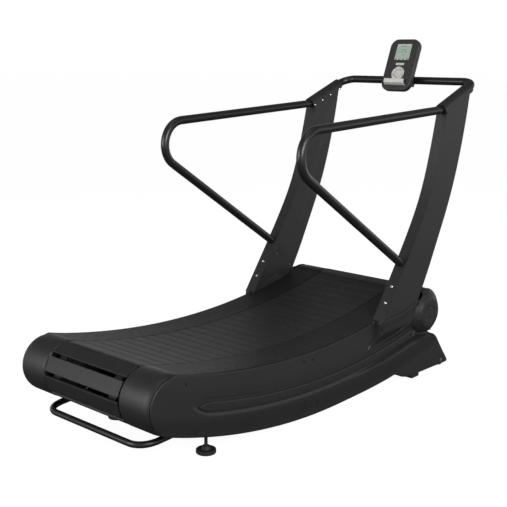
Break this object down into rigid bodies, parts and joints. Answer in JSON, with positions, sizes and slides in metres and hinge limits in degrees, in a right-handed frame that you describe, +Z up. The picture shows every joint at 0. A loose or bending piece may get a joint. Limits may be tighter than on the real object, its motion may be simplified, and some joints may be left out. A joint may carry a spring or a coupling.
{
  "type": "curved manual treadmill",
  "caption": "Self-powered treadmill with a curved slatted running belt, moulded side covers, upright posts, bent tube handrails, crossbar and a small battery console.",
  "frame": {"origin": "on the floor, at the middle of the whole object's bounding box", "axes": "+X to the runner's right, +Y forward towards the console, +Z up"},
  "size_m": [0.852, 2.1638, 1.5888],
  "materials": {
    "frame_paint": "fine-texture powder coat",
    "tube_paint": "satin black paint",
    "cover_plastic": "matt moulded",
    "console_plastic": "matt moulded",
    "slat_rubber": "ribbed",
    "belt_rubber": "plain",
    "grip_rubber": "pebbled",
    "foot_rubber": "plain",
    "tyre_rubber": "plain",
    "ground_steel": "ground",
    "zinc_bolt": "zinc plated",
    "black_screw": "black oxide",
    "pulley_alloy": "turned",
    "block_iron": "painted",
    "silver_plastic": "silver painted",
    "display_glass": "clear",
    "display_panel": "grey-green liquid crystal",
    "board_green": "solder mask",
    "cell_sleeve": "printed sleeve"
  },
  "bodies": {
    "frame": {"toothed_belts": "belt_rubber", "belt_slats": "slat_rubber", "slat_screws": "zinc_bolt", "bearing_blocks": "block_iron", "speed_sensor": "cover_plastic", "side_frames": "frame_paint", "cross_members": "frame_paint", "deck_bearings": "ground_steel", "deck_bearing_bolts": "zinc_bolt", "side_cover_right": "cover_plastic", "side_cover_left": "cover_plastic", "cover_strips": "cover_plastic", "foot_rail_right": "cover_plastic", "foot_rail_left": "cover_plastic", "grip_pads": "grip_rubber", "rear_caps": "cover_plastic", "front_caps": "cover_plastic", "upright_right": "frame_paint", "upright_left": "frame_paint", "upright_strips": "frame_paint", "upright_posts": "frame_paint", "tube_clamps": "frame_paint", "handrail_right": "tube_paint", "handrail_left": "tube_paint", "crossbar": "tube_paint", "upright_bolts": "zinc_bolt", "front_legs": "frame_paint", "front_feet": "foot_rubber", "wheel_axles": "ground_steel", "foot_covers": "cover_plastic", "cover_screws": "black_screw", "leveller_brackets": "frame_paint", "leveller_nuts": "zinc_bolt", "lift_handle": "tube_paint", "handle_clips": "frame_paint", "console_front": "console_plastic", "console_back": "console_plastic", "lcd_window": "display_glass", "lcd_module": "display_panel", "circuit_board": "board_green", "battery_cover": "console_plastic", "battery_cells": "cell_sleeve", "phone_ledge": "silver_plastic", "console_bracket": "frame_paint"},
    "front_roller": {"front_shaft": "ground_steel", "front_pulleys": "pulley_alloy", "sensor_magnet": "ground_steel"},
    "rear_roller": {"rear_shaft": "ground_steel", "rear_pulleys": "pulley_alloy"},
    "wheel_right": {"transport_wheel_right": "tyre_rubber"},
    "wheel_left": {"transport_wheel_left": "tyre_rubber"},
    "leveller_right": {"levelling_foot_right": "block_iron"},
    "leveller_left": {"levelling_foot_left": "block_iron"},
    "bar_button": {"bar_button": "silver_plastic"},
    "centre_button": {"centre_button": "silver_plastic"},
    "ring_button_top": {"ring_button_top": "silver_plastic"},
    "ring_button_upper_left": {"ring_button_upper_left": "silver_plastic"},
    "ring_button_lower_left": {"ring_button_lower_left": "silver_plastic"},
    "ring_button_lower_right": {"ring_button_lower_right": "silver_plastic"},
    "ring_button_upper_right": {"ring_button_upper_right": "silver_plastic"}
  },
  "joints": [
    {"name": "front_roller_spin", "type": "hinge", "parent": "frame", "child": "front_roller", "pos_m": [0, 0.6698, 0.311], "axis": [1, 0, 0], "continuous": true},
    {"name": "rear_roller_spin", "type": "hinge", "parent": "frame", "child": "rear_roller", "pos_m": [0, -0.9652, 0.3], "axis": [1, 0, 0], "continuous": true},
    {"name": "wheel_right_spin", "type": "hinge", "parent": "frame", "child": "wheel_right", "pos_m": [0.39, 0.8158, 0.039], "axis": [1, 0, 0], "continuous": true},
    {"name": "wheel_left_spin", "type": "hinge", "parent": "frame", "child": "wheel_left", "pos_m": [-0.39, 0.8158, 0.039], "axis": [1, 0, 0], "continuous": true},
    {"name": "leveller_right_screw", "type": "slide", "parent": "frame", "child": "leveller_right", "axis": [0, 0, -1], "range_m": [0, 0.02]},
    {"name": "leveller_left_screw", "type": "slide", "parent": "frame", "child": "leveller_left", "axis": [0, 0, -1], "range_m": [0, 0.02]},
    {"name": "bar_button_press", "type": "slide", "parent": "frame", "child": "bar_button", "axis": [0, 0.9259, -0.3778], "range_m": [0, 0.0012], "stiffness_N_per_m": 900},
    {"name": "centre_button_press", "type": "slide", "parent": "frame", "child": "centre_button", "axis": [0, 0.9259, -0.3778], "range_m": [0, 0.0012], "stiffness_N_per_m": 900},
    {"name": "ring_button_top_press", "type": "slide", "parent": "frame", "child": "ring_button_top", "axis": [0, 0.9259, -0.3778], "range_m": [0, 0.0012], "stiffness_N_per_m": 900},
    {"name": "ring_button_upper_left_press", "type": "slide", "parent": "frame", "child": "ring_button_upper_left", "axis": [0, 0.9259, -0.3778], "range_m": [0, 0.0012], "stiffness_N_per_m": 900},
    {"name": "ring_button_lower_left_press", "type": "slide", "parent": "frame", "child": "ring_button_lower_left", "axis": [0, 0.9259, -0.3778], "range_m": [0, 0.0012], "stiffness_N_per_m": 900},
    {"name": "ring_button_lower_right_press", "type": "slide", "parent": "frame", "child": "ring_button_lower_right", "axis": [0, 0.9259, -0.3778], "range_m": [0, 0.0012], "stiffness_N_per_m": 900},
    {"name": "ring_button_upper_right_press", "type": "slide", "parent": "frame", "child": "ring_button_upper_right", "axis": [0, 0.9259, -0.3778], "range_m": [0, 0.0012], "stiffness_N_per_m": 900}
  ],
  "couplings": [
    {"joint": "rear_roller_spin", "follows": "front_roller_spin", "ratio": 1}
  ]
}
